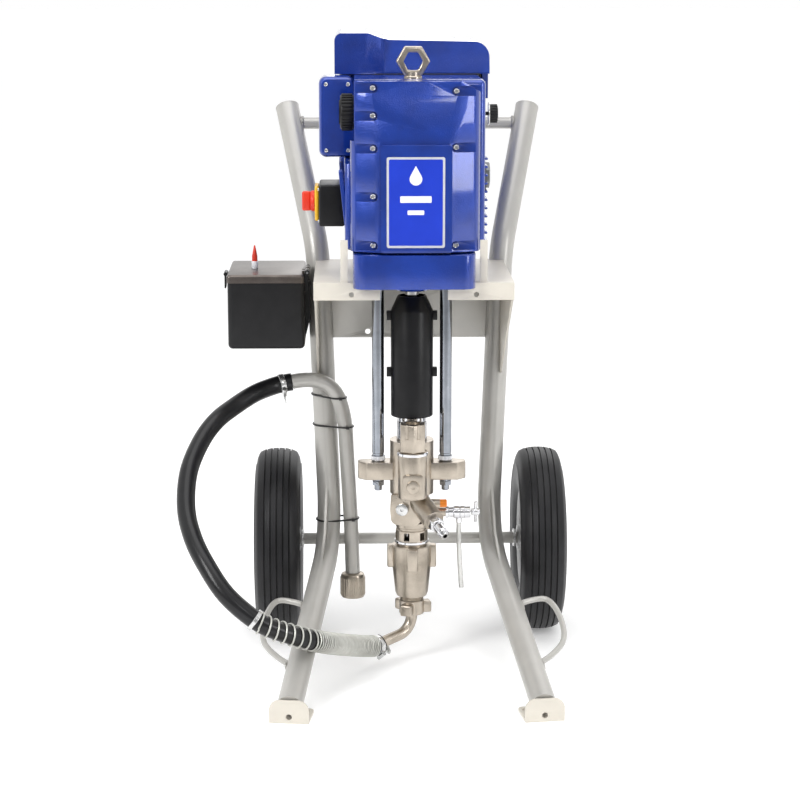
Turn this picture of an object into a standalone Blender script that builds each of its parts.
"""Airless paint sprayer: an electric reciprocating pump on a two-wheeled tube cart.

The model is built in metres with +Z up. Its working frame has the pump rod on the Z axis, the floor at
Z = 0, the front of the machine towards -Y and +X to the right of someone who faces it. At the end one
root empty moves everything so that the origin is under the middle of the cart.
"""
import math

import bmesh
import bpy
from mathutils import Matrix, Vector

# ---- driving dimensions, in metres ---------------------------------------------------------------
GAP = 0.0003               # clearance between pieces that rest on each other
RUNNING = 0.00006          # radial clearance of a running fit

RAIL_R = 0.0254            # 2 inch frame tube
RAIL_WALL = 0.002
WELD_BITE = 0.0010         # how far a welded web runs into the tube wall
RAIL_BEND_R = 0.150
RAIL_SIDES = 4             # bevel resolution: twelve flats round the tube
RAIL_FOOT = (0.250, -0.380, 0.0305)
RAIL_KNEE = (0.173, 0.200, 0.218)
RAIL_HIP = (0.1975, 0.200, 0.857)
RAIL_TOP = (0.265, 0.385, 1.150)
BAR_R = 0.0127             # 1 inch axle and handle bar
BAR_Z = 1.115

TYRE_R = 0.203             # 16 x 4 inch wheel
TYRE_IN_X = 0.238
TYRE_OUT_X = 0.338
RIM_R = 0.102
AXLE_Y = 0.240
AXLE_X = 0.346
WHEEL_STEPS = 24

FOOT_FRONT_Y = -0.3935
FOOT_WIDTH = 0.079
FOOT_DEPTH = 0.080
FOOT_HEIGHT = 0.051
SHEET = 0.005              # plate used for feet, gussets and the motor shelf

SHELF_Z = 0.836
SHELF_FRONT_Y = -0.151
SHELF_HALF_X = 0.201
FLANGE_DROP = 0.035

ROD_X = 0.0705             # front tie rods; the third stands behind the pump
ROD_REAR_Y = 0.082
ROD_R = 0.0127
STUD_R = 0.008
STROKE = 0.120

BODY_R = 0.046             # pump body
BODY_TOP = 0.483
ARM_LOW = 0.399
ARM_TOP = 0.436
COLUMN_Y = -0.062
PISTON_R = 0.0130

BOX_LEFT = -0.385          # tool box
BOX_RIGHT = -0.2235
BOX_FRONT = 0.060
BOX_BACK = 0.284
BOX_LOW = 0.664
BOX_TOP = 0.804
HINGE_X = -0.2180
HINGE_Z = 0.8240

HOSE_R = 0.019
GUARD_R = 0.024
TUBE_R = 0.016


# ---- finishes: colour, roughness, metallic -------------------------------------------------------
FINISHES = {
    "frame_grey": ((0.52, 0.50, 0.46), 0.45, 0.3),
    "shelf_beige": ((0.74, 0.70, 0.62), 0.5, 0.0),
    "blue_enamel": ((0.02, 0.05, 0.40), 0.25, 0.3),
    "tyre_rubber": ((0.02, 0.02, 0.02), 0.8, 0.0),
    "rim_steel": ((0.55, 0.56, 0.58), 0.4, 0.6),
    "black_plastic": ((0.015, 0.016, 0.018), 0.5, 0.0),
    "lid_steel": ((0.42, 0.38, 0.35), 0.3, 0.9),
    "pump_nickel": ((0.48, 0.42, 0.36), 0.3, 0.9),
    "bright_steel": ((0.75, 0.76, 0.78), 0.12, 1.0),
    "dark_steel": ((0.25, 0.26, 0.28), 0.35, 0.9),
    "copper_windings": ((0.60, 0.28, 0.12), 0.5, 0.6),
    "board_green": ((0.03, 0.20, 0.07), 0.6, 0.0),
    "hose_rubber": ((0.02, 0.02, 0.022), 0.6, 0.0),
    "zinc_wire": ((0.70, 0.70, 0.70), 0.3, 0.9),
    "knob_red": ((0.70, 0.04, 0.02), 0.4, 0.0),
    "plate_yellow": ((0.80, 0.48, 0.03), 0.4, 0.0),
    "relief_orange": ((0.85, 0.25, 0.02), 0.4, 0.0),
    "clear_plastic": ((0.80, 0.80, 0.78), 0.3, 0.0),
}


# ---- scene and helpers ---------------------------------------------------------------------------
def clear_scene():
    for obj in list(bpy.data.objects):
        bpy.data.objects.remove(obj, do_unlink=True)


def make_finish(name):
    colour, roughness, metallic = FINISHES[name]
    material = bpy.data.materials.new(name)
    material.use_nodes = True
    shader = material.node_tree.nodes["Principled BSDF"]
    shader.inputs["Base Color"].default_value = (*colour, 1.0)
    shader.inputs["Roughness"].default_value = roughness
    shader.inputs["Metallic"].default_value = metallic
    return material


def add_object(name, data, location=(0.0, 0.0, 0.0)):
    obj = bpy.data.objects.new(name, data)
    obj.location = location
    SPRAYER.objects.link(obj)
    return obj


def evaluated_copy(obj):
    """The object's mesh with its modifiers or its curve bevel worked out."""
    bpy.context.view_layer.update()
    depsgraph = bpy.context.evaluated_depsgraph_get()
    return bpy.data.meshes.new_from_object(obj.evaluated_get(depsgraph))


def bake(obj):
    """Apply an object's modifiers to its own mesh."""
    mesh = evaluated_copy(obj)
    obj.modifiers.clear()
    obj.data = mesh
    return obj


def curve_to_mesh(obj, weld=0.00001):
    """Swap a curve object for a closed mesh object of the same name and place."""
    name = obj.name
    mesh = evaluated_copy(obj)
    welded = bmesh.new()
    welded.from_mesh(mesh)
    bmesh.ops.remove_doubles(welded, verts=welded.verts, dist=weld)
    bmesh.ops.recalc_face_normals(welded, faces=welded.faces)
    welded.to_mesh(mesh)
    welded.free()
    matrix = obj.matrix_world.copy()
    bpy.data.objects.remove(obj, do_unlink=True)
    solid = add_object(name, mesh)
    solid.matrix_world = matrix
    return solid


def boolean(base, operation, tools):
    """Join tools to a base or cut them out of it, then remove the tools."""
    for tool in tools:
        modifier = base.modifiers.new(operation.title(), "BOOLEAN")
        modifier.operation = operation
        modifier.solver = "EXACT"
        modifier.object = tool
        bake(base)
        bpy.data.objects.remove(tool, do_unlink=True)
    return base


def unite(base, *others):
    return boolean(base, "UNION", others)


def carve(base, *cutters):
    return boolean(base, "DIFFERENCE", cutters)


def soften(obj, width, segments=2, angle=35.0):
    """Round an object's sharper edges."""
    modifier = obj.modifiers.new("Bevel", "BEVEL")
    modifier.width = width
    modifier.segments = segments
    modifier.limit_method = "ANGLE"
    modifier.angle_limit = math.radians(angle)
    return bake(obj)


def block(name, low, high):
    """A box between two opposite corners."""
    low, high = Vector(low), Vector(high)
    shape = bmesh.new()
    bmesh.ops.create_cube(shape, size=1.0)
    bmesh.ops.scale(shape, vec=high - low, verts=shape.verts)
    mesh = bpy.data.meshes.new(name)
    shape.to_mesh(mesh)
    shape.free()
    return add_object(name, mesh, (low + high) / 2)


def rod(name, start, end, radius, sides=24, end_radius=None):
    """A cylinder, cone or prism between two points."""
    start, end = Vector(start), Vector(end)
    along = end - start
    shape = bmesh.new()
    bmesh.ops.create_cone(shape, cap_ends=True, segments=sides, radius1=radius,
                          radius2=radius if end_radius is None else end_radius, depth=along.length)
    mesh = bpy.data.meshes.new(name)
    shape.to_mesh(mesh)
    shape.free()
    obj = add_object(name, mesh, (start + end) / 2)
    obj.rotation_euler = along.to_track_quat("Z", "Y").to_euler()
    return obj


def ball(name, centre, radius, segments=16):
    shape = bmesh.new()
    bmesh.ops.create_uvsphere(shape, u_segments=segments, v_segments=segments // 2, radius=radius)
    mesh = bpy.data.meshes.new(name)
    shape.to_mesh(mesh)
    shape.free()
    return add_object(name, mesh, centre)


def turned(name, profile, centre, axis="Z", steps=32, closed=False):
    """A profile of (radius, height) points, outer side first from top to bottom, spun about an axis."""
    mesh = bpy.data.meshes.new(name)
    points = [(radius, 0.0, height) for radius, height in profile]
    edges = [(i, i + 1) for i in range(len(points) - 1)]
    if closed:
        edges.append((len(points) - 1, 0))
    mesh.from_pydata(points, edges, [])
    obj = add_object(name, mesh, centre)
    if axis == "X":
        obj.rotation_euler = (0.0, math.pi / 2, 0.0)
    elif axis == "Y":
        obj.rotation_euler = (-math.pi / 2, 0.0, 0.0)
    screw = obj.modifiers.new("Screw", "SCREW")
    screw.axis = "Z"
    screw.steps = steps
    screw.render_steps = steps
    screw.use_merge_vertices = True
    screw.merge_threshold = 0.00001
    return bake(obj)


def ring(name, centre, outer, inner, low, high, axis="Z", steps=32):
    """A plain ring from low to high along its axis."""
    profile = [(outer, high), (outer, low), (inner, low), (inner, high)]
    return turned(name, profile, centre, axis, steps, closed=True)


def rounded_path(corners, radius, pieces=5):
    """Straight runs between corners, with an arc of the given radius at each inner corner."""
    corners = [Vector(corner) for corner in corners]
    path = [corners[0]]
    for before, corner, after in zip(corners, corners[1:], corners[2:]):
        back, ahead = (before - corner).normalized(), (after - corner).normalized()
        half = back.angle(ahead) / 2
        middle = corner + (back + ahead).normalized() * radius / math.sin(half)
        start = corner + back * radius / math.tan(half) - middle
        end = corner + ahead * radius / math.tan(half) - middle
        path += [middle + start.slerp(end, i / pieces) * radius for i in range(pieces + 1)]
    path.append(corners[-1])
    return path


def smooth_path(points, spacing):
    """Points about `spacing` apart on a smooth curve that runs through all the given points."""
    points = [Vector(point) for point in points]
    padded = [2 * points[0] - points[1]] + points + [2 * points[-1] - points[-2]]
    path = []
    for a, b, c, d in zip(padded, padded[1:], padded[2:], padded[3:]):
        pieces = max(1, round((c - b).length / spacing))
        for i in range(pieces):
            t = i / pieces
            path.append(0.5 * (2 * b + (c - a) * t + (2 * a - 5 * b + 4 * c - d) * t ** 2
                               + (3 * b - a - 3 * c + d) * t ** 3))
    path.append(points[-1])
    return path


def pipe(name, path, radius, bevel_resolution=4, wall=None):
    """A round bar along a path, or a tube with open ends where a wall is given."""
    curve = bpy.data.curves.new(name, "CURVE")
    curve.dimensions = "3D"
    curve.bevel_depth = radius
    curve.bevel_resolution = bevel_resolution
    curve.use_fill_caps = wall is None
    spline = curve.splines.new("POLY")
    spline.points.add(len(path) - 1)
    for point, place in zip(spline.points, path):
        point.co = (*place, 1.0)
    solid = curve_to_mesh(add_object(name, curve))
    if wall is not None:
        shell = solid.modifiers.new("Wall", "SOLIDIFY")
        shell.thickness = wall
        shell.offset = -1.0
        bake(solid)
    return solid


def plate(name, outline, thickness, matrix):
    """A flat outline of (x, y) points, centred on its thickness and placed by a matrix."""
    curve = bpy.data.curves.new(name, "CURVE")
    curve.dimensions = "2D"
    curve.fill_mode = "BOTH"
    curve.extrude = thickness / 2
    spline = curve.splines.new("POLY")
    spline.points.add(len(outline) - 1)
    for point, (x, y) in zip(spline.points, outline):
        point.co = (x, y, 0.0, 1.0)
    spline.use_cyclic_u = True
    obj = add_object(name, curve)
    obj.matrix_world = matrix
    return curve_to_mesh(obj)


def frame_of(origin, x_axis, y_axis):
    """A placement whose local X and Y run along the given directions."""
    x_axis = Vector(x_axis).normalized()
    z_axis = x_axis.cross(Vector(y_axis)).normalized()
    y_axis = z_axis.cross(x_axis)
    matrix = Matrix((x_axis, y_axis, z_axis)).transposed().to_4x4()
    matrix.translation = Vector(origin)
    return matrix


def arc(centre, radius, start, end, pieces):
    """Points of a flat arc, angles in degrees."""
    angles = [math.radians(start + (end - start) * i / pieces) for i in range(pieces + 1)]
    return [(centre[0] + radius * math.cos(a), centre[1] + radius * math.sin(a)) for a in angles]


def finish_part(obj, finish, parent=None):
    """Give a finished piece its material and shading, and hang it on its body's empty."""
    obj.data.materials.clear()
    material = make_finish(finish)
    material.name = obj.name + "_" + finish
    obj.data.materials.append(material)
    obj.data.shade_smooth()
    obj.data.set_sharp_from_angle(angle=math.radians(35.0))
    bpy.context.view_layer.update()
    parent = parent or ROOT
    obj.parent = parent
    obj.matrix_parent_inverse = parent.matrix_world.inverted()
    return obj


def pivot(name, location):
    """An empty on a joint's axis, which the pieces of one moving body hang on."""
    empty = bpy.data.objects.new(name, None)
    empty.location = location
    SPRAYER.objects.link(empty)
    bpy.context.view_layer.update()
    empty.parent = ROOT
    return empty


def mirrored(point, side):
    return (point[0] * side, point[1], point[2])


# ---- frame ---------------------------------------------------------------------------------------
def rail_path(side):
    corners = [mirrored(p, side) for p in (RAIL_FOOT, RAIL_KNEE, RAIL_HIP, RAIL_TOP)]
    return rounded_path(corners, RAIL_BEND_R)


def rail_cutter(side, clearance=GAP):
    """A slightly fatter solid rail, which trims the plates and bars that are welded to it."""
    return pipe("rail_cutter", rail_path(side), RAIL_R + clearance, bevel_resolution=RAIL_SIDES)


def knee_web(side):
    """Web plate in the crook between a leg and its upright."""
    leg_reach, upright_reach, scoop, inset = 0.215, 0.158, 0.030, 0.035
    foot, knee, hip = (Vector(mirrored(p, side)) for p in (RAIL_FOOT, RAIL_KNEE, RAIL_HIP))
    to_foot, to_hip = (foot - knee).normalized(), (hip - knee).normalized()
    placing = frame_of(knee, to_hip, to_foot)
    inverse = placing.inverted()
    inwards = (to_foot + to_hip).normalized()
    leg_end, upright_end = knee + to_foot * leg_reach, knee + to_hip * upright_reach
    middle = (leg_end + upright_end) / 2 - inwards * scoop
    flat = [inverse @ p for p in (knee + inwards * inset, upright_end, middle, leg_end)]
    web = plate("knee_web", [(p.x, p.y) for p in flat], SHEET, placing)
    return carve(web, rail_cutter(side, -WELD_BITE))


def axle_ear(side):
    """Web behind a rail's knee, with the hole that carries the axle."""
    ear_r, ear_x, ear_thick = 0.024, 0.1765, 0.006
    in_rail = [(0.140, 0.208), (0.172, 0.2386), (0.200, 0.327)]
    outline = in_rail + arc((AXLE_Y, TYRE_R), ear_r, 40.0, -120.0, 10)
    web = plate("axle_ear", outline, ear_thick, frame_of((side * ear_x, 0, 0), (0, 1, 0), (0, 0, 1)))
    return carve(web, rail_cutter(side, -WELD_BITE),
                 rod("axle_hole", (-0.3, AXLE_Y, TYRE_R), (0.3, AXLE_Y, TYRE_R), BAR_R + GAP, 32))


def build_rails():
    """Bent frame tubes, each with the knee web and the axle ear that are welded to it."""
    for side, word in ((-1, "left"), (1, "right")):
        rail = pipe("rail_" + word, rail_path(side), RAIL_R, bevel_resolution=RAIL_SIDES, wall=RAIL_WALL)
        unite(rail, knee_web(side), axle_ear(side))
        finish_part(rail, "frame_grey")


def build_handle_bar():
    share = (BAR_Z - RAIL_HIP[2]) / (RAIL_TOP[2] - RAIL_HIP[2])
    centre = Vector(RAIL_HIP).lerp(Vector(RAIL_TOP), share)
    bar = rod("handle_bar", (-centre.x, centre.y, BAR_Z), (centre.x, centre.y, BAR_Z), BAR_R, 20)
    carve(bar, rail_cutter(-1), rail_cutter(1))
    finish_part(bar, "frame_grey")


def leg_frame(side):
    """The leg's lower end and the direction of its centreline towards the knee."""
    foot, knee = Vector(mirrored(RAIL_FOOT, side)), Vector(mirrored(RAIL_KNEE, side))
    return foot, (knee - foot).normalized()


def build_hooks():
    """Rod loops on the outer side of each leg, for tie-down straps and the coiled spray hose."""
    rod_r = 0.006
    loop = [(0.345, 0.014), (0.362, 0.048), (0.366, 0.078), (0.335, 0.092), (0.275, 0.095),
            (0.215, 0.084), (0.168, 0.052), (0.132, 0.014)]
    for side, word in ((-1, "left"), (1, "right")):
        foot, along = leg_frame(side)
        points = [foot + along * s + Vector((side * w, 0.0, 0.0)) for s, w in loop]
        hook = pipe("tie_hook_" + word, smooth_path(points, 0.030), rod_r, bevel_resolution=3)
        carve(hook, rail_cutter(side))
        finish_part(hook, "frame_grey")


def build_feet():
    """Folded foot plates, square to each leg: an upright half-round face and a floor pad."""
    half = FOOT_WIDTH / 2
    hole_r, pad_hole_r = 0.006, 0.0045
    for side, word in ((-1, "left"), (1, "right")):
        foot, along = leg_frame(side)
        heading = Vector((along.x, along.y, 0.0)).normalized()
        across = Vector((heading.y, -heading.x, 0.0))
        front = foot - heading * (foot.y - FOOT_FRONT_Y) / heading.y
        front.z = 0.0
        pad_outline = ([(-half, 0.0), (half, 0.0)]
                       + arc((half - 0.012, FOOT_DEPTH - 0.012), 0.012, 0.0, 90.0, 4)
                       + arc((-half + 0.012, FOOT_DEPTH - 0.012), 0.012, 90.0, 180.0, 4))
        pad_frame = frame_of(front + Vector((0, 0, SHEET / 2)), across, heading)
        pad = plate("foot_" + word, pad_outline, SHEET, pad_frame)
        side_top = FOOT_HEIGHT - 0.030
        face_outline = [(-half, 0.001), (half, 0.001), (half, side_top)]
        face_outline += arc((half - 0.022, side_top + 0.004), 0.0225, 10.0, 80.0, 4)
        face_outline += arc((-half + 0.022, side_top + 0.004), 0.0225, 100.0, 170.0, 4)
        face_outline.append((-half, side_top))
        face_frame = frame_of(front + heading * SHEET / 2, across, (0, 0, 1))
        face = plate("face", face_outline, SHEET, face_frame)
        unite(pad, face)
        eye = front + Vector((0, 0, 0.013))
        inner_corner = front + across * (-side * 0.028) + heading * 0.064
        carve(pad,
              rod("eye", eye - heading * 0.02, eye + heading * 0.02, hole_r, 16),
              rod("pad_hole", inner_corner - Vector((0, 0, 0.01)),
                  inner_corner + Vector((0, 0, 0.02)), pad_hole_r, 12))
        finish_part(pad, "shelf_beige")


def build_motor_shelf():
    """Welded bracket that carries the motor: a folded, notched plate with side webs and two tabs."""
    top, front, half, back = SHELF_Z, SHELF_FRONT_Y, SHELF_HALF_X, 0.198
    low, inset = top - SHEET, 0.001
    fold = [(front, top), (front, top - FLANGE_DROP), (front + SHEET, top - FLANGE_DROP),
            (front + SHEET, low), (back, low), (back, top)]
    shelf = plate("motor_shelf", fold, 2 * half, frame_of((0, 0, 0), (0, 1, 0), (0, 0, 1)))
    for side in (-1, 1):
        web = [(front + inset, top - inset), (front + inset, top - FLANGE_DROP + inset),
               (0.175, 0.590), (back - inset, 0.590), (back - inset, top - inset)]
        placing = frame_of((side * (half - SHEET / 2 - inset), 0, 0), (0, 1, 0), (0, 0, 1))
        unite(shelf, plate("web", web, SHEET - inset, placing))
        tab = block("tab", (-0.0075, front + 0.006, low + inset), (0.0075, front + 0.011, 0.921))
        tab.location.x = side * 0.1395
        bpy.context.view_layer.update()
        unite(shelf, tab)
    notch_half = 0.068
    carve(shelf, block("notch", (-notch_half, front - 0.01, low - 0.04), (notch_half, 0.105, top + 0.01)))
    for side in (-1, 1):
        carve(shelf,
              rod("rod_hole", (side * ROD_X, 0, low - 0.01), (side * ROD_X, 0, top + 0.01), 0.0145, 24),
              rod("flange_hole", (side * 0.125, front - 0.01, 0.812), (side * 0.125, front + 0.02, 0.812),
                  0.0055, 12),
              rail_cutter(side))
    finish_part(shelf, "shelf_beige")


def build_back_panel():
    """Cross plate welded between the uprights under the shelf."""
    panel = block("back_panel", (-0.172, 0.1975, 0.665), (0.172, 0.2015, SHELF_Z - SHEET - GAP))
    carve(panel, rail_cutter(-1), rail_cutter(1),
          rod("panel_hole", (-0.090, 0.15, 0.678), (-0.090, 0.25, 0.678), 0.006, 12))
    finish_part(panel, "frame_grey")


# ---- wheels --------------------------------------------------------------------------------------
def build_wheels():
    axle = rod("axle", (-AXLE_X, AXLE_Y, TYRE_R), (AXLE_X, AXLE_Y, TYRE_R), BAR_R, 32)
    for side in (-1, 1):
        outer, inner = (TYRE_OUT_X - 0.0025, TYRE_OUT_X + 0.0035), (TYRE_IN_X - 0.003, TYRE_IN_X + 0.003)
        for near, far in (outer, inner):
            collar = rod("collar", (side * near, AXLE_Y, TYRE_R), (side * far, AXLE_Y, TYRE_R), 0.020, 24)
            unite(axle, collar)
    finish_part(axle, "frame_grey")
    middle = (TYRE_IN_X + TYRE_OUT_X) / 2
    half = (TYRE_OUT_X - TYRE_IN_X) / 2
    outer = [(0.1023, 0.0342), (0.1090, 0.0342), (0.1100, 0.0420), (0.125, 0.0485), (0.150, half),
             (0.182, 0.046), (0.196, 0.038), (TYRE_R, 0.024)]
    outer += [(radius, -height) for radius, height in reversed(outer)]
    inner = [(0.1023, -0.0225), (0.118, -0.0335), (0.150, -0.040), (0.178, -0.036), (0.190, -0.020)]
    inner += [(radius, -height) for radius, height in reversed(inner)]
    bore = (BAR_R + RUNNING) / math.cos(math.pi / WHEEL_STEPS)
    lip_r, lip_in, lip_out, hub_r, hub_half = 0.1085, 0.0345, 0.0385, 0.030, 0.046
    rim = [(lip_r, lip_out), (lip_r, lip_in), (RIM_R, lip_in), (RIM_R, -lip_in), (lip_r, -lip_in),
           (lip_r, -lip_out), (RIM_R - 0.004, -lip_out), (RIM_R - 0.006, -0.006), (hub_r + 0.006, -0.006),
           (hub_r, -hub_half), (bore, -hub_half), (bore, hub_half), (hub_r, hub_half),
           (hub_r + 0.006, 0.002), (RIM_R - 0.006, 0.002), (RIM_R - 0.004, lip_out)]
    for side, word in ((-1, "left"), (1, "right")):
        centre = (side * middle, AXLE_Y, TYRE_R)
        spin = pivot("wheel_axis_" + word, centre)
        tyre = turned("tyre_" + word, outer + inner, centre, "X", WHEEL_STEPS, closed=True)
        finish_part(tyre, "tyre_rubber", spin)
        finish_part(turned("rim_" + word, rim, centre, "X", WHEEL_STEPS, closed=True), "rim_steel", spin)


# ---- drive unit ----------------------------------------------------------------------------------
def build_base_skirt():
    """Cast motor base: a plate with a rim that hangs over the shelf's front edge."""
    half, front, back, corner = 0.122, -0.190, 0.130, 0.026
    top, floor, lip = 0.8957, SHELF_Z + GAP, 0.828
    outline = (arc((half - corner, front + corner), corner, -90.0, 0.0, 5)
               + [(half, back), (-half, back)]
               + arc((-half + corner, front + corner), corner, 180.0, 270.0, 5))
    level = frame_of((0, 0, (top + lip) / 2), (1, 0, 0), (0, 1, 0))
    skirt = plate("base_skirt", outline, top - lip, level)
    wall, roof = 0.009, 0.870
    boss = turned("boss", [(0.0, 0.880), (0.056, 0.880), (0.056, 0.842), (0.046, 0.812), (0.036, 0.800),
                           (0.0, 0.800)], (0, 0, 0))
    carve(skirt,
          block("hollow", (-half + wall, front + wall + 0.024, lip - 0.01),
                (half - wall, back - wall, roof)),
          block("shelf_clearance", (-0.2, SHELF_FRONT_Y - 0.003, lip - 0.01), (0.2, back + 0.01, floor)))
    unite(skirt, boss)
    carve(skirt, rod("shaft_bore", (0, 0, 0.790), (0, 0, 0.92), 0.0165, 24))
    for x, y in ((-ROD_X, 0.0), (ROD_X, 0.0), (0.0, ROD_REAR_Y)):
        carve(skirt, rod("rod_seat", (x, y, roof - 0.02), (x, y, roof + 0.012), ROD_R + GAP, 24))
    finish_part(skirt, "blue_enamel")


def build_motor_housing():
    """Main drive casting, open at the front and hollow for the motor and the crank."""
    low, top, front, back = 0.896, 1.236, -0.1147, 0.200
    housing = block("motor_housing", (-0.138, front, low), (0.143, back, top))
    soften(housing, 0.010, 2)
    carve(housing,
          block("shoulder", (-0.15, front - 0.01, 1.0705), (-0.118, back + 0.01, top + 0.01)),
          block("cavity", (-0.104, front - 0.02, 0.912), (0.104, 0.188, 1.216)),
          rod("shaft_hole", (0, 0, 0.88), (0, 0, 0.92), 0.0165, 24))
    finish_part(housing, "blue_enamel")


def build_front_cover():
    """Faceted front casting with a raised surround for the name plate."""
    low, top, back = 0.899, 1.2355, -0.115
    outline = [(-0.125, back), (-0.125, -0.142), (-0.092, -0.160), (-0.068, -0.172), (0.068, -0.172),
               (0.094, -0.160), (0.131, -0.142), (0.131, back)]
    cover = plate("front_cover", outline, top - low,
                  frame_of((0, 0, (top + low) / 2), (1, 0, 0), (0, 1, 0)))
    surround = block("surround", (-0.0665, -0.180, low), (0.074, -0.165, 1.1125))
    soften(surround, 0.004, 2)
    unite(cover, surround)
    carve(cover,
          block("upper_left_step", (-0.14, -0.18, 1.118), (-0.1185, -0.1, top + 0.01)),
          block("inside", (-0.100, -0.150, 0.912), (0.100, back + 0.01, 1.216)))
    finish_part(cover, "blue_enamel")


def build_controls():
    """Rear electronics housing with its overhanging cover, junction box, gland and side plugs."""
    back_box = block("control_housing", (-0.150, 0.2003, 0.960), (0.150, 0.330, 1.2355))
    soften(back_box, 0.012, 2)
    carve(back_box, block("bay", (-0.144, 0.206, 0.966), (0.144, 0.324, 1.25)))
    finish_part(back_box, "blue_enamel")
    board = block("control_board", (-0.125, 0.255, 0.990), (0.125, 0.257, 1.200))
    unite(board, block("board_ears", (-0.1437, 0.255, 1.080), (0.1437, 0.257, 1.100)))
    finish_part(board, "board_green")

    front, back, left, right = 0.080, 0.335, -0.158, 0.163
    profile = ([(left, 1.2365), (left, 1.304)] + arc((left + 0.014, 1.306), 0.014, 180.0, 90.0, 4)
               + [(-0.090, 1.320)] + [(-0.062, 1.310), (-0.045, 1.3055)]
               + arc((right - 0.030, 1.270), 0.030, 82.0, 0.0, 5) + [(right, 1.2365)])
    cover = plate("control_cover", profile, back - front,
                  frame_of((0, (front + back) / 2, 0), (1, 0, 0), (0, 0, 1)))
    skirt = block("cover_skirt", (0.1505, front + 0.060, 1.183), (right, back, 1.240))
    unite(cover, skirt)
    carve(cover, block("cover_hollow", (left + 0.006, front + 0.006, 1.20), (0.145, back - 0.006, 1.298)))
    finish_part(cover, "blue_enamel")

    junction = block("junction_box", (-0.190, 0.010, 1.071), (-0.1183, 0.105, 1.2355))
    soften(junction, 0.014, 2)
    carve(junction, block("terminal_bay", (-0.182, 0.016, 1.079), (-0.10, 0.099, 1.2275)))
    finish_part(junction, "blue_enamel")
    gland = turned("cable_gland", [(0.0, 0.014), (0.034, 0.014), (0.0365, 0.010), (0.0365, -0.014),
                                   (0.0, -0.014)], (-0.1323, -0.064, 1.1690), "X", 24)
    carve(gland, block("gland_seat", (-0.1183, -0.2, 1.10), (-0.05, 0.1, 1.3)))
    finish_part(gland, "black_plastic")

    hexagon = [(0.0345 * math.cos(a), 0.0340 * math.sin(a)) for a in
               (math.radians(60.0 * i) for i in range(6))]
    eye = [(x * 0.56, y * 0.60) for x, y in hexagon]
    standing = frame_of((0.0, -0.060, 1.2695), (1, 0, 0), (0, 0, 1))
    lift = plate("lifting_ring", hexagon, 0.018, standing)
    carve(lift, plate("eye", eye, 0.05, standing))
    unite(lift, rod("stem", (0.0, -0.060, 1.2363), (0.0, -0.060, 1.2480), 0.014, 16))
    finish_part(lift, "dark_steel")


def build_switches():
    """Main switch box with its yellow plate and red knob, and the pressure knob."""
    box = block("switch_box", (-0.1900, -0.060, 0.938), (-0.1383, 0.060, 1.022))
    soften(box, 0.003, 2)
    carve(box, block("switch_bay", (-0.186, -0.056, 0.942), (-0.13, 0.056, 1.018)))
    spindle_z = 0.984
    carve(box, rod("spindle_hole", (-0.21, 0, spindle_z), (-0.15, 0, spindle_z), 0.0055, 16))
    finish_part(box, "black_plastic")
    bezel = block("switch_plate", (-0.1990, -0.0355, 0.9465), (-0.1903, 0.0355, 1.0175))
    soften(bezel, 0.002, 2)
    carve(bezel, rod("spindle_hole", (-0.21, 0, spindle_z), (-0.15, 0, spindle_z), 0.0055, 16))
    finish_part(bezel, "plate_yellow")
    turn = pivot("switch_axis", (-0.200, 0.0, spindle_z))
    knob = turned("switch_knob", [(0.0, 0.0085), (0.0215, 0.0085), (0.0215, 0.004), (0.0190, 0.0),
                                  (0.0, 0.0)], (-0.2080, 0.0, spindle_z), "X", 24)
    grip = block("grip", (-0.2255, -0.0065, spindle_z - 0.0200), (-0.2070, 0.0065, spindle_z + 0.0200))
    soften(grip, 0.004, 2)
    unite(knob, grip, rod("spindle", (-0.202, 0, spindle_z), (-0.160, 0, spindle_z), 0.005, 16))
    finish_part(knob, "knob_red", turn)

    turn = pivot("pressure_axis", (0.166, 0.130, 1.152))
    dial = turned("pressure_knob", [(0.0, 0.0085), (0.0165, 0.0085), (0.0185, 0.0065), (0.0200, -0.008),
                                    (0.0, -0.008)], (0.1745, 0.130, 1.152), "X", 24)
    unite(dial, rod("spindle", (0.170, 0.130, 1.152), (0.1505, 0.130, 1.152), 0.004, 16))
    finish_part(dial, "black_plastic", turn)


def build_drive_train():
    """Motor, crank gear and the shaft that drives the pump rod up and down."""
    motor_z, crank_z = 1.105, 1.010
    crank_r, pinion_r = 0.0798, 0.0148
    gear_front, gear_back = -0.080, -0.055
    centre = (0.0, 0.0975, motor_z)
    stator = ring("motor_stator", centre, 0.092, 0.0595, -0.045, 0.045, "Y")
    unite(stator, block("stator_foot", (-0.030, 0.060, 0.9123), (0.030, 0.135, motor_z - 0.080)))
    finish_part(stator, "copper_windings")
    spin = pivot("rotor_axis", (0.0, gear_front, motor_z))
    rotor = rod("motor_rotor", (0, 0.050, motor_z), (0, 0.145, motor_z), 0.0575, 32)
    unite(rotor,
          rod("rotor_shaft", (0, gear_back - 0.001, motor_z), (0, 0.180, motor_z), 0.010, 20),
          rod("pinion", (0, gear_front, motor_z), (0, gear_back, motor_z), pinion_r, 32))
    finish_part(rotor, "dark_steel", spin)
    spin = pivot("crank_axis", (0.0, gear_front, crank_z))
    crank = rod("crank_gear", (0, gear_front, crank_z), (0, gear_back, crank_z), crank_r, 64)
    pin_z = crank_z - STROKE / 2
    unite(crank,
          rod("crank_journal", (0, -0.112, crank_z), (0, gear_front + 0.001, crank_z), 0.014, 20),
          rod("crank_pin", (0, gear_back - 0.001, pin_z), (0, -0.030, pin_z), 0.010, 20))
    finish_part(crank, "dark_steel", spin)


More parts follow.
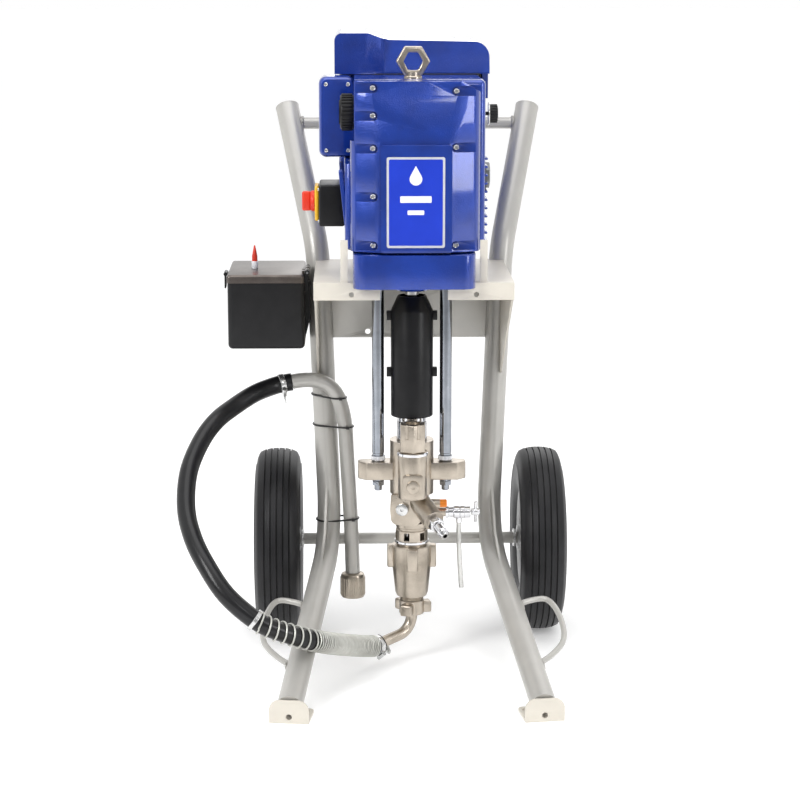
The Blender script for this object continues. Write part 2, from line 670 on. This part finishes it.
def build_stroke_parts():
    """The pieces that travel with the stroke: drive shaft, coupling and displacement rod."""
    travel = pivot("stroke_axis", (0, 0, 0.603))
    shaft = rod("drive_shaft", (0, 0, 0.6033), (0, 0, 0.9050), 0.0150, 24)
    finish_part(shaft, "bright_steel", travel)
    coupling = turned("coupling_nut", [(0.0, 0.6030), (0.026, 0.6030), (0.030, 0.599), (0.030, 0.557),
                                       (0.026, 0.5530), (0.0, 0.5530)], (0, 0, 0), steps=24)
    finish_part(coupling, "dark_steel", travel)
    piston = rod("displacement_rod", (0, 0, 0.215), (0, 0, 0.5527), PISTON_R, 24)
    unite(piston, rod("piston", (0, 0, 0.205), (0, 0, 0.232), 0.0250, 24))
    finish_part(piston, "bright_steel", travel)


def build_shroud():
    """Two-part guard round the moving coupling, clipped together at the sides."""
    outer, wall, low, shoulder, top = 0.044, 0.003, 0.535, 0.757, 0.788
    profile = [(0.028, top), (outer, shoulder), (outer, low), (outer - wall, low),
               (outer - wall, shoulder), (0.028 - wall, top)]
    for sign, word in ((-1, "front"), (1, "rear")):
        half = turned("shroud_" + word, profile, (0, 0, 0), steps=32, closed=True)
        for side in (-1, 1):
            for clip_z in (0.746, 0.627):
                near, far = sorted((0.0, sign * 0.007))
                inner, end = sorted((side * (outer - 0.0015), side * 0.0525))
                unite(half, block("clip", (inner, near, clip_z - 0.0095), (end, far, clip_z + 0.0095)))
        other_near, other_far = sorted((sign * GAP / 2, -sign * 0.1))
        carve(half, block("other_half", (-0.1, other_near, low - 0.1), (0.1, other_far, top + 0.1)))
        finish_part(half, "black_plastic")


# ---- pump ----------------------------------------------------------------------------------------
def build_tie_rods():
    places = {"left": (-ROD_X, 0.0), "right": (ROD_X, 0.0), "rear": (0.0, ROD_REAR_Y)}
    for word, (x, y) in places.items():
        bar = rod("tie_rod_" + word, (x, y, ARM_TOP + GAP), (x, y, 0.8815), ROD_R, 24)
        unite(bar, rod("stud", (x, y, 0.3735), (x, y, ARM_TOP + 0.002), STUD_R, 24))
        unite(bar, rod("nut", (x, y, 0.3865), (x, y, ARM_LOW - GAP), 0.0140, 6))
        finish_part(bar, "bright_steel")


def build_manifold():
    """Pump body: outlet casting with arms for the tie rods and a filter column in front."""
    body = rod("pump_manifold", (0, 0, 0.3693), (0, 0, BODY_TOP), BODY_R, 32)
    arm_half, arm_y, cut = 0.113, 0.022, 0.017
    arms = plate("arms", [(-arm_half, arm_y), (-arm_half, -arm_y + cut), (-arm_half + cut, -arm_y),
                          (arm_half - cut, -arm_y), (arm_half, -arm_y + cut), (arm_half, arm_y),
                          (0.024, arm_y + 0.020), (0.024, 0.104), (-0.024, 0.104), (-0.024, arm_y + 0.020)],
                 ARM_TOP - ARM_LOW, frame_of((0, 0, (ARM_TOP + ARM_LOW) / 2), (1, 0, 0), (0, 1, 0)))
    column = rod("column", (0, COLUMN_Y, 0.372), (0, COLUMN_Y, 0.470), 0.030, 32)
    neck = block("neck", (-0.030, COLUMN_Y, 0.374), (0.030, 0.0, 0.468))
    pad = block("pad", (-0.021, -0.0975, 0.378), (0.021, -0.060, 0.427))
    unite(body, arms, column, neck, pad)
    lower = block("lower_block", (-0.036, -0.048, 0.306), (0.036, 0.034, 0.3715))
    soften(lower, 0.006, 1)
    lower.rotation_euler = (0, 0, math.radians(-14.0))
    lower.location.x = -0.006
    bpy.context.view_layer.update()
    unite(body, lower)
    unite(body, rod("front_plug", (0, -0.0900, 0.4025), (0, -0.1035, 0.4025), 0.0135, 24),
          rod("outlet_barrel", (0.006, -0.020, 0.366), (0.0440, -0.0950, 0.3290), 0.0225, 24),
          rod("relief_boss", (0.020, -0.014, 0.3472), (0.0590, -0.014, 0.3472), 0.0095, 20),
          rod("drain_boss", (0.020, 0.006, 0.3235), (0.0715, 0.006, 0.3235), 0.0100, 20))
    carve(body,
          rod("chamber", (0, 0, 0.29), (0, 0, 0.440), 0.0262, 32),
          rod("rod_bore", (0, 0, 0.43), (0, 0, 0.50), PISTON_R + GAP, 24),
          rod("filter_bore", (0, COLUMN_Y, 0.395), (0, COLUMN_Y, 0.50), 0.0200, 24),
          rod("cap_room", (0, COLUMN_Y, 0.470), (0, COLUMN_Y, 0.50), 0.0305, 32))
    for x, y in ((-ROD_X, 0.0), (ROD_X, 0.0), (0.0, ROD_REAR_Y)):
        carve(body, rod("stud_hole", (x, y, 0.38), (x, y, 0.45), STUD_R + GAP, 24))
    finish_part(body, "pump_nickel")


def build_pump_details():
    """Wet cup, filter cap, cylinder, intake valve, outlet and drain fittings."""
    cup = ring("wet_cup", (0, 0, 0), 0.032, (PISTON_R + RUNNING) / math.cos(math.pi / 32) + 0.0002,
               BODY_TOP + GAP, 0.545)
    finish_part(cup, "bright_steel")
    cap = rod("filter_cap", (0, COLUMN_Y, 0.4703), (0, COLUMN_Y, 0.530), 0.0295, 6)
    for i in range(6):
        turn = math.radians(60.0 * i)
        x, y = 0.0295 * math.cos(turn), 0.0295 * math.sin(turn) + COLUMN_Y
        carve(cap, rod("castle_notch", (x, y, 0.500), (x, y, 0.54), 0.0055, 12))
    finish_part(cap, "pump_nickel")

    sleeve = turned("pump_cylinder", [(0.034, 0.3057), (0.034, 0.263), (0.031, 0.260), (0.031, 0.2445),
                                      (0.0262, 0.2445), (0.0262, 0.3057)], (0, 0, 0), closed=True)
    finish_part(sleeve, "pump_nickel")
    intake = turned("intake_housing", [(0.0425, 0.256), (0.0425, 0.222), (0.0350, 0.150), (0.0320, 0.144),
                                       (0.0240, 0.144), (0.0240, 0.1350), (0.0120, 0.1350), (0.0120, 0.1700),
                                       (0.0262, 0.1740), (0.0262, 0.2440), (0.0314, 0.2440),
                                       (0.0314, 0.256)], (0, 0, 0), closed=True)
    for i in range(4):
        turn = math.radians(90.0 * i)
        lug = block("lug", (0.0340, -0.012, 0.207), (0.0520, 0.012, 0.256))
        lug.location = Matrix.Rotation(turn, 3, "Z") @ lug.location
        lug.rotation_euler = (0, 0, turn)
        bpy.context.view_layer.update()
        unite(intake, lug)
    finish_part(intake, "pump_nickel")
    check_ball = ball("intake_ball", (0, 0, 0.1808), 0.0150)
    finish_part(check_ball, "bright_steel", pivot("ball_axis", (0, 0, 0.1808)))

    nut = ring("union_nut", (0, 0, 0), 0.0265, 0.0135, 0.1040, 0.1347)
    for i in range(3):
        turn = math.radians(120.0 * i + 10.0)
        wing = block("wing", (0.024, -0.013, 0.106), (0.041, 0.013, 0.130))
        wing.location = Matrix.Rotation(turn, 3, "Z") @ wing.location
        wing.rotation_euler = (0, 0, turn)
        bpy.context.view_layer.update()
        unite(nut, wing)
    finish_part(nut, "pump_nickel")
    bend = rounded_path([(0, 0, 0.1345), (0, 0, 0.066), (-0.0625, -0.046, 0.053)], 0.040)
    finish_part(pipe("intake_elbow", bend, 0.0120, 3, wall=0.0025), "pump_nickel")

    start, end = Vector((0.0440, -0.0950, 0.3290)), Vector((0.0663, -0.1390, 0.3073))
    along = (end - start).normalized()
    outlet = rod("outlet_fitting", start + along * GAP, start + along * 0.020, 0.0165, 6)
    unite(outlet, rod("nipple", start + along * 0.018, end, 0.0110, 20, end_radius=0.0085))
    carve(outlet, rod("outlet_bore", start - along * 0.01, end + along * 0.01, 0.0048, 16))
    finish_part(outlet, "bright_steel")
    relief = rod("relief_cap", (0.0593, -0.014, 0.3472), (0.0735, -0.014, 0.3472), 0.0085, 16)
    finish_part(relief, "relief_orange")

    valve = rod("drain_valve", (0.0718, 0.006, 0.3235), (0.1240, 0.006, 0.3235), 0.0145, 24)
    unite(valve, rod("drain_port", (0.1000, 0.006, 0.3140), (0.1000, 0.006, 0.3010), 0.0060, 16))
    carve(valve, rod("stem_bore", (0.110, 0.006, 0.3235), (0.13, 0.006, 0.3235), 0.0050, 16))
    finish_part(valve, "bright_steel")
    turn = pivot("drain_axis", (0.1260, 0.006, 0.3235))
    handle = rod("drain_handle", (0.1130, 0.006, 0.3235), (0.1440, 0.006, 0.3235), 0.0045, 16)
    unite(handle, rod("hub", (0.1260, 0.006, 0.3235), (0.1430, 0.006, 0.3235), 0.0080, 16),
          rod("bar", (0.1350, 0.006 - 0.008, 0.3235 + 0.024), (0.1350, 0.006 + 0.008, 0.3235 - 0.024),
              0.0033, 12))
    finish_part(handle, "bright_steel", turn)
    outlet_hose = pipe("drain_tube", [Vector(p) for p in ((0.1000, 0.006, 0.3007), (0.1003, 0.006, 0.260),
                                                          (0.1025, 0.005, 0.210), (0.1060, 0.004, 0.158))],
                       0.0052, 3, wall=0.0012)
    finish_part(outlet_hose, "clear_plastic")


# ---- suction line --------------------------------------------------------------------------------
HOSE_ROUTE = [(-0.0628, -0.0462, 0.0529), (-0.0807, -0.0593, 0.0492), (-0.1290, -0.1180, 0.0700),
              (-0.1830, -0.2270, 0.1120), (-0.2315, -0.2700, 0.1370), (-0.2863, -0.2920, 0.1621),
              (-0.3255, -0.2960, 0.1865), (-0.3772, -0.2820, 0.2302), (-0.4162, -0.2480, 0.2784),
              (-0.4467, -0.2000, 0.3242), (-0.4642, -0.1400, 0.3725), (-0.4625, -0.0750, 0.4323),
              (-0.4405, -0.0100, 0.4818), (-0.4113, 0.0350, 0.5160), (-0.3765, 0.0780, 0.5369),
              (-0.3342, 0.1140, 0.5580), (-0.2960, 0.1440, 0.5680), (-0.2700, 0.1530, 0.5735),
              (-0.2540, 0.1540, 0.5760)]
SUCTION_ROUTE = [(-0.2536, 0.15402, 0.57606), (-0.2320, 0.1554, 0.5794), (-0.205, 0.1540, 0.5790),
                 (-0.180, 0.1530, 0.5710), (-0.1600, 0.1550, 0.5510), (-0.1480, 0.1600, 0.5200),
                 (-0.1400, 0.1700, 0.4750), (-0.1370, 0.1800, 0.4175), (-0.1330, 0.1860, 0.3400),
                 (-0.1280, 0.1920, 0.2400), (-0.1250, 0.1950, 0.1400)]


def build_suction_line():
    """Suction hose with its spring guard, the rigid tube tied to the rail, and its strainer."""
    route = smooth_path(HOSE_ROUTE, 0.034)
    finish_part(pipe("suction_hose", route, HOSE_R, 3), "hose_rubber")
    guard_route = smooth_path(HOSE_ROUTE, 0.034)[1:13]
    finish_part(pipe("spring_guard", guard_route, GUARD_R, 3, wall=0.0032), "zinc_wire")
    tube = pipe("suction_tube", smooth_path(SUCTION_ROUTE, 0.050), TUBE_R, 3, wall=0.002)
    finish_part(tube, "frame_grey")
    foot = Vector(SUCTION_ROUTE[-1])
    strainer = turned("strainer", [(0.019, 0.0), (0.0265, -0.006), (0.0265, -0.052), (0.024, -0.055),
                                   (0.021, -0.055), (0.021, -0.010), (0.0168, -0.008), (0.0168, 0.0)],
                      (foot.x, foot.y, 0.138), steps=24, closed=True)
    carve(tube, block("tube_trim", (-0.2, 0.1, 0.1), (-0.08, 0.3, 0.1383)))
    finish_part(strainer, "dark_steel")


# ---- tool box ------------------------------------------------------------------------------------
def build_tool_box():
    """Open box on a bracket, with a hinged lid, a latch and the oil bottle that hangs in the lid."""
    wall = 0.003
    box = block("tool_box", (BOX_LEFT, BOX_FRONT, BOX_LOW), (BOX_RIGHT, BOX_BACK, BOX_TOP))
    soften(box, 0.006, 2)
    wedge = plate("wedge", [(BOX_RIGHT - 0.002, 0.800), (-0.2130, 0.800), (-0.2130, 0.720),
                            (BOX_RIGHT - 0.002, 0.672)], 0.030,
                  frame_of((0.0, 0.130, 0.0), (1, 0, 0), (0, 0, 1)))
    unite(box, wedge)
    carve(box, block("inside", (BOX_LEFT + wall, BOX_FRONT + wall, BOX_LOW + wall),
                     (BOX_RIGHT - wall, BOX_BACK - wall, BOX_TOP + 0.01)), rail_cutter(-1))
    knuckle_r, pin_r, knuckle_long = 0.0052, 0.0024, 0.0197
    for y in (0.0780, 0.1480):
        knuckle = rod("knuckle", (HINGE_X, y, HINGE_Z), (HINGE_X, y + knuckle_long, HINGE_Z), knuckle_r, 16)
        leaf = block("leaf", (BOX_RIGHT - 0.0005, y, 0.785),
                     (HINGE_X + 0.001, y + knuckle_long, HINGE_Z - 0.001))
        unite(box, leaf, knuckle)
    carve(box, rod("pin_bore", (HINGE_X, 0.05, HINGE_Z), (HINGE_X, 0.30, HINGE_Z), pin_r + GAP, 16))
    finish_part(box, "black_plastic")
    pin = rod("hinge_pin", (HINGE_X, 0.0760, HINGE_Z), (HINGE_X, 0.1695, HINGE_Z), pin_r, 16)
    finish_part(pin, "dark_steel")

    swing = pivot("lid_axis", (HINGE_X, 0.1228, HINGE_Z))
    lid = block("tool_box_lid", (BOX_LEFT - 0.001, BOX_FRONT - 0.001, BOX_TOP + 0.0006),
                (BOX_RIGHT - 0.0010, BOX_BACK + 0.001, 0.822))
    soften(lid, 0.004, 2)
    neck_x, neck_y = -0.331, 0.160
    carve(lid, block("lid_inside", (BOX_LEFT + wall, BOX_FRONT + wall, BOX_TOP - 0.01),
                     (BOX_RIGHT - wall, BOX_BACK - wall, 0.8205)),
          rod("bottle_hole", (neck_x, neck_y, 0.80), (neck_x, neck_y, 0.83), 0.0075, 16))
    for y in (0.0980, 0.1280):
        knuckle = rod("knuckle", (HINGE_X, y, HINGE_Z), (HINGE_X, y + knuckle_long, HINGE_Z), knuckle_r, 16)
        leaf = block("leaf", (BOX_RIGHT - 0.006, y, 0.8200), (HINGE_X, y + knuckle_long, HINGE_Z + 0.0010))
        unite(lid, leaf, knuckle)
    carve(lid, rod("pin_bore", (HINGE_X, 0.05, HINGE_Z), (HINGE_X, 0.30, HINGE_Z),
                   (pin_r + RUNNING) / math.cos(math.pi / 16), 16))
    finish_part(lid, "lid_steel", swing)
    bottle = turned("oil_bottle", [(0.0, 0.872), (0.0012, 0.872), (0.0060, 0.8490), (0.0060, 0.8225),
                                   (0.0068, 0.8225), (0.0068, 0.8150), (0.0150, 0.8100), (0.0150, 0.7400),
                                   (0.0, 0.7400)], (neck_x, neck_y, 0.0), steps=20)
    finish_part(bottle, "knob_red", swing)
    flip = pivot("latch_axis", (BOX_LEFT - 0.006, 0.130, 0.8170))
    latch = block("lid_latch", (BOX_LEFT - 0.0085, 0.112, 0.786), (BOX_LEFT - 0.0055, 0.148, 0.8160))
    unite(latch, rod("latch_roll", (BOX_LEFT - 0.0060, 0.112, 0.8165), (BOX_LEFT - 0.0060, 0.148, 0.8165),
                     0.0042, 16))
    finish_part(latch, "black_plastic", flip)


# ---- assembly ------------------------------------------------------------------------------------
def move_to_origin():
    """Put the origin on the floor under the middle of the cart's outer box, hose left out."""
    bpy.context.view_layer.update()
    solids = [obj for obj in SPRAYER.objects
              if obj.type == "MESH" and obj.name not in ("suction_hose", "spring_guard")]
    corners = [obj.matrix_world @ Vector(corner) for obj in solids for corner in obj.bound_box]
    middle = [(min(c[k] for c in corners) + max(c[k] for c in corners)) / 2 for k in (0, 1)]
    ROOT.location = (-round(middle[0], 4), -round(middle[1], 4), 0.0)
    bpy.context.view_layer.update()


clear_scene()
SPRAYER = bpy.data.collections.new("airless_paint_sprayer")
bpy.context.scene.collection.children.link(SPRAYER)
ROOT = bpy.data.objects.new("sprayer_origin", None)
SPRAYER.objects.link(ROOT)

build_rails()
build_handle_bar()
build_hooks()
build_feet()
build_motor_shelf()
build_back_panel()
build_wheels()
build_base_skirt()
build_motor_housing()
build_front_cover()
build_controls()
build_switches()
build_drive_train()
build_stroke_parts()
build_shroud()
build_tie_rods()
build_manifold()
build_pump_details()
build_suction_line()
build_tool_box()
move_to_origin()
